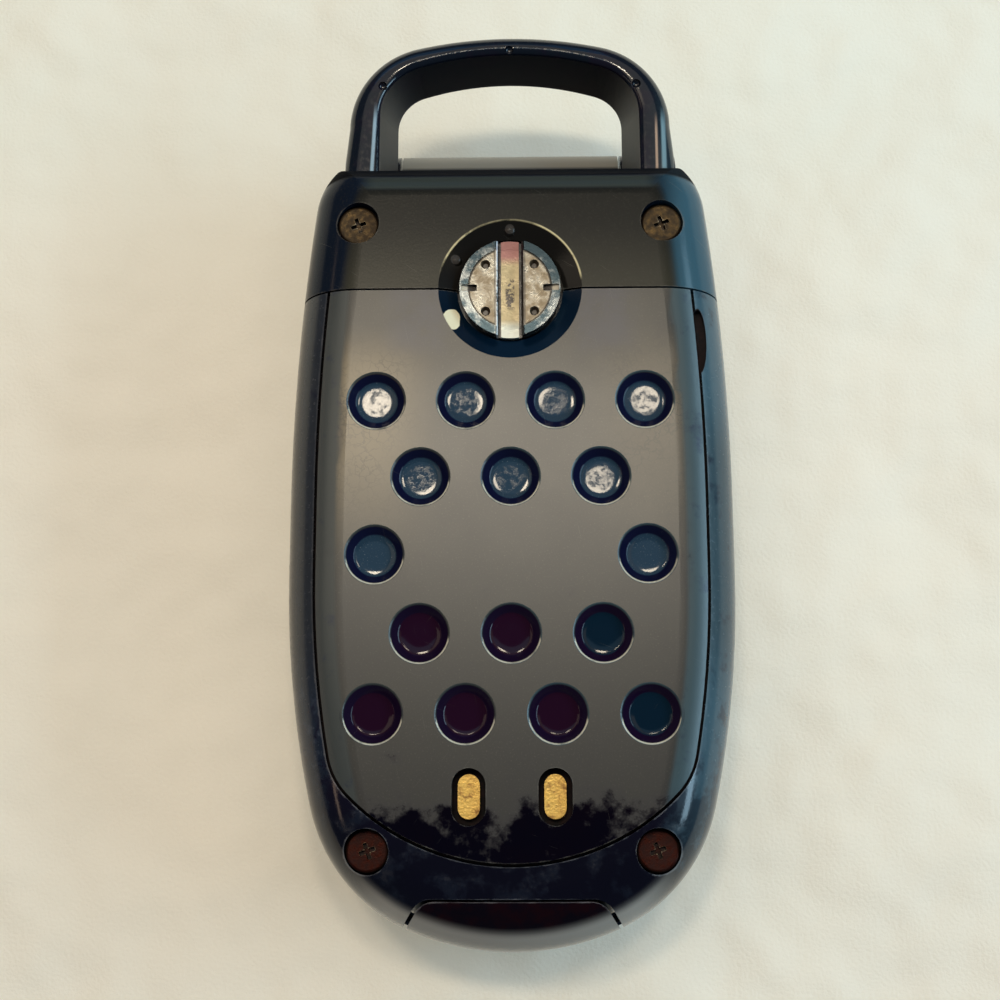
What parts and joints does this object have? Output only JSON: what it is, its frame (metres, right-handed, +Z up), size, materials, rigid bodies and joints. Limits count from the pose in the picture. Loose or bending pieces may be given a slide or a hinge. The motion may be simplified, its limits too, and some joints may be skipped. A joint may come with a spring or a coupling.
{
  "type": "flip phone",
  "caption": "Rugged clamshell phone, shut and lying on its lid: rolled back with a dimpled battery cover, a coin lock, recessed screws and a carry loop at the hinge end.",
  "frame": {"origin": "on the table, under the middle of the shut phone, which lies on its lid", "axes": "+X across the phone, +Y towards the hinge and carry loop, +Z up out of the back"},
  "size_m": [0.0522, 0.1074, 0.0254],
  "materials": {
    "painted_frame": "worn glossy blue-black paint over plastic",
    "painted_cover": "satin warm gunmetal paint, speckled and scratched",
    "soft_rubber": "smooth dark rubber",
    "lock_metal": "worn bright plated metal",
    "screw_steel": "rusty plated steel",
    "gilt_contact": "gilt",
    "battery_case": "matt",
    "keys": "gloss",
    "lid_case": "glossy blue-black paint over plastic",
    "ring_metal": "satin",
    "lens": "clear over dark",
    "display": "dark display",
    "board": "circuit board",
    "module": "plated",
    "antenna": "moulded",
    "camera": "matt",
    "hinge_metal": "machined",
    "flex": "amber film"
  },
  "bodies": {
    "lid": {"lid_outer_shell": "lid_case", "lid_inner_shell": "lid_case", "lid_board": "board", "lid_screws": "screw_steel", "lid_bumpers": "soft_rubber", "main_display_lens": "lens", "main_display_panel": "display", "sub_display_ring": "ring_metal", "sub_display_lens": "lens", "sub_display_panel": "display", "camera_module": "camera", "flash_lens": "lens", "earpiece": "module", "loudspeaker": "module", "hinge_cartridge": "hinge_metal", "hinge_bush": "hinge_metal", "hinge_flex": "flex"},
    "battery_cover_body": {"battery_cover": "painted_cover"},
    "lock": {"lock_disc": "lock_metal", "lock_cam": "lock_metal"},
    "port_cover": {"charge_port_cover": "soft_rubber"},
    "volume_rocker_body": {"volume_rocker": "soft_rubber"},
    "camera_key_body": {"camera_key": "soft_rubber"},
    "key_0_body": {"key_0": "keys"},
    "key_1_body": {"key_1": "keys"},
    "key_2_body": {"key_2": "keys"},
    "key_3_body": {"key_3": "keys"},
    "key_4_body": {"key_4": "keys"},
    "key_5_body": {"key_5": "keys"},
    "key_6_body": {"key_6": "keys"},
    "key_7_body": {"key_7": "keys"},
    "key_8_body": {"key_8": "keys"},
    "key_9_body": {"key_9": "keys"},
    "key_clear_body": {"key_clear": "keys"},
    "key_end_body": {"key_end": "keys"},
    "key_nav_ring_body": {"key_nav_ring": "keys"},
    "key_ok_body": {"key_ok": "keys"},
    "key_pound_body": {"key_pound": "keys"},
    "key_send_body": {"key_send": "keys"},
    "key_soft_left_body": {"key_soft_left": "keys"},
    "key_soft_right_body": {"key_soft_right": "keys"},
    "key_star_body": {"key_star": "keys"},
    "base": {"antenna_module": "antenna", "battery_pack": "battery_case", "battery_seal": "soft_rubber", "battery_terminals": "gilt_contact", "carry_loop": "painted_frame", "case_gasket": "soft_rubber", "case_screws": "screw_steel", "charge_connector": "module", "charge_contacts": "gilt_contact", "dome_sheet": "board", "front_case": "painted_frame", "main_board": "board", "microphone": "module", "rear_case": "painted_frame", "shield_cans": "module", "upper_rear_case": "painted_frame", "vibration_motor": "module"}
  },
  "joints": [
    {"name": "hinge_open", "type": "hinge", "parent": "lid", "child": "base", "pos_m": [0, 0.038, 0.01055], "axis": [-1, 0, 0], "range_deg": [0, 160]},
    {"name": "battery_cover_lift", "type": "slide", "parent": "base", "child": "battery_cover_body", "axis": [0, 0, 1], "range_m": [0, 0.012]},
    {"name": "coin_lock_turn", "type": "hinge", "parent": "battery_cover_body", "child": "lock", "pos_m": [0, 0.0205, 0.024], "axis": [0, 0, 1], "range_deg": [0, 60]},
    {"name": "charge_cover_swing", "type": "hinge", "parent": "base", "child": "port_cover", "pos_m": [0, -0.0537, 0.01575], "axis": [1, 0, 0], "range_deg": [0, 100]},
    {"name": "camera_key_press", "type": "slide", "parent": "base", "child": "camera_key_body", "axis": [-1, 0, 0], "range_m": [0, 0.0003], "stiffness_N_per_m": 600},
    {"name": "volume_rocker_tilt", "type": "hinge", "parent": "base", "child": "volume_rocker_body", "pos_m": [-0.0237, 0.004, 0.0131], "axis": [0, 0, 1], "range_deg": [-2, 2], "stiffness_Nm_per_rad": 0.05},
    {"name": "press_0", "type": "slide", "parent": "base", "child": "key_0_body", "axis": [0, 0, 1], "range_m": [0, 0.00035], "stiffness_N_per_m": 600},
    {"name": "press_1", "type": "slide", "parent": "base", "child": "key_1_body", "axis": [0, 0, 1], "range_m": [0, 0.00035], "stiffness_N_per_m": 600},
    {"name": "press_2", "type": "slide", "parent": "base", "child": "key_2_body", "axis": [0, 0, 1], "range_m": [0, 0.00035], "stiffness_N_per_m": 600},
    {"name": "press_3", "type": "slide", "parent": "base", "child": "key_3_body", "axis": [0, 0, 1], "range_m": [0, 0.00035], "stiffness_N_per_m": 600},
    {"name": "press_4", "type": "slide", "parent": "base", "child": "key_4_body", "axis": [0, 0, 1], "range_m": [0, 0.00035], "stiffness_N_per_m": 600},
    {"name": "press_5", "type": "slide", "parent": "base", "child": "key_5_body", "axis": [0, 0, 1], "range_m": [0, 0.00035], "stiffness_N_per_m": 600},
    {"name": "press_6", "type": "slide", "parent": "base", "child": "key_6_body", "axis": [0, 0, 1], "range_m": [0, 0.00035], "stiffness_N_per_m": 600},
    {"name": "press_7", "type": "slide", "parent": "base", "child": "key_7_body", "axis": [0, 0, 1], "range_m": [0, 0.00035], "stiffness_N_per_m": 600},
    {"name": "press_8", "type": "slide", "parent": "base", "child": "key_8_body", "axis": [0, 0, 1], "range_m": [0, 0.00035], "stiffness_N_per_m": 600},
    {"name": "press_9", "type": "slide", "parent": "base", "child": "key_9_body", "axis": [0, 0, 1], "range_m": [0, 0.00035], "stiffness_N_per_m": 600},
    {"name": "press_clear", "type": "slide", "parent": "base", "child": "key_clear_body", "axis": [0, 0, 1], "range_m": [0, 0.00035], "stiffness_N_per_m": 600},
    {"name": "press_end", "type": "slide", "parent": "base", "child": "key_end_body", "axis": [0, 0, 1], "range_m": [0, 0.00035], "stiffness_N_per_m": 600},
    {"name": "press_nav_ring", "type": "slide", "parent": "base", "child": "key_nav_ring_body", "axis": [0, 0, 1], "range_m": [0, 0.00035], "stiffness_N_per_m": 600},
    {"name": "press_ok", "type": "slide", "parent": "base", "child": "key_ok_body", "axis": [0, 0, 1], "range_m": [0, 0.00035], "stiffness_N_per_m": 600},
    {"name": "press_pound", "type": "slide", "parent": "base", "child": "key_pound_body", "axis": [0, 0, 1], "range_m": [0, 0.00035], "stiffness_N_per_m": 600},
    {"name": "press_send", "type": "slide", "parent": "base", "child": "key_send_body", "axis": [0, 0, 1], "range_m": [0, 0.00035], "stiffness_N_per_m": 600},
    {"name": "press_soft_left", "type": "slide", "parent": "base", "child": "key_soft_left_body", "axis": [0, 0, 1], "range_m": [0, 0.00035], "stiffness_N_per_m": 600},
    {"name": "press_soft_right", "type": "slide", "parent": "base", "child": "key_soft_right_body", "axis": [0, 0, 1], "range_m": [0, 0.00035], "stiffness_N_per_m": 600},
    {"name": "press_star", "type": "slide", "parent": "base", "child": "key_star_body", "axis": [0, 0, 1], "range_m": [0, 0.00035], "stiffness_N_per_m": 600}
  ]
}
